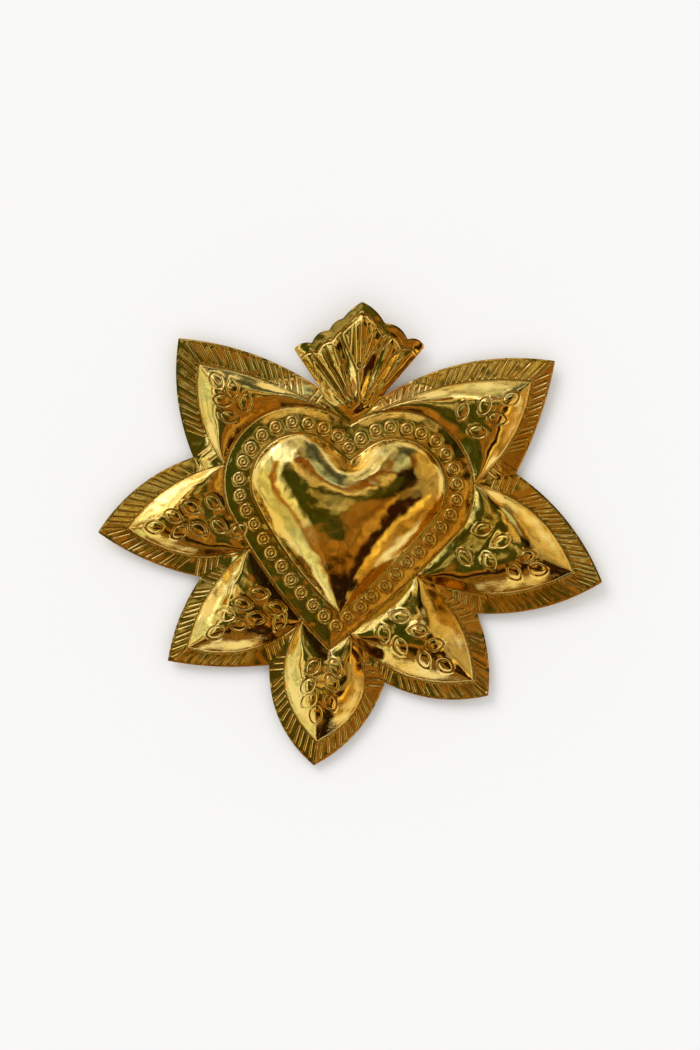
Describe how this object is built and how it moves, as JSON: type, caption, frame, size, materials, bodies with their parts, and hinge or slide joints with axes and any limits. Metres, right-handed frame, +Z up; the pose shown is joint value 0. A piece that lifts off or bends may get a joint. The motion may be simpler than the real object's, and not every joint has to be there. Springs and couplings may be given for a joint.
{
  "type": "heart wall ornament",
  "caption": "Domed heart of chased brass sheet with pointed leaf petals around it and a fluted crown, hung on a nail by a wire ring behind.",
  "frame": {"origin": "on the wall's surface, where the nail that carries the hanging ring leaves it: the ring's highest inner point, brought back to the plane that the petals' rims rest on", "axes": "+X to the viewer's right, +Y from the front into the wall, +Z up"},
  "size_m": [0.2198, 0.0231, 0.2022],
  "materials": {
    "polished_brass": "mirror polished, slightly wavy from hammering",
    "strap_brass": "dull as rolled",
    "wire_brass": "drawn wire, dulled",
    "soft_solder": "dull grey, frozen from a puddle"
  },
  "bodies": {
    "plaque": {"chased_sheet": "polished_brass", "hanger_strap": "strap_brass", "solder_pad": "soft_solder"},
    "ring": {"hanging_ring": "wire_brass"}
  },
  "joints": [
    {"name": "ring_swing", "type": "hinge", "parent": "plaque", "child": "ring", "pos_m": [0, -0.0024, -0.01682], "axis": [-1, 0, 0], "range_deg": [-7, 172]}
  ]
}
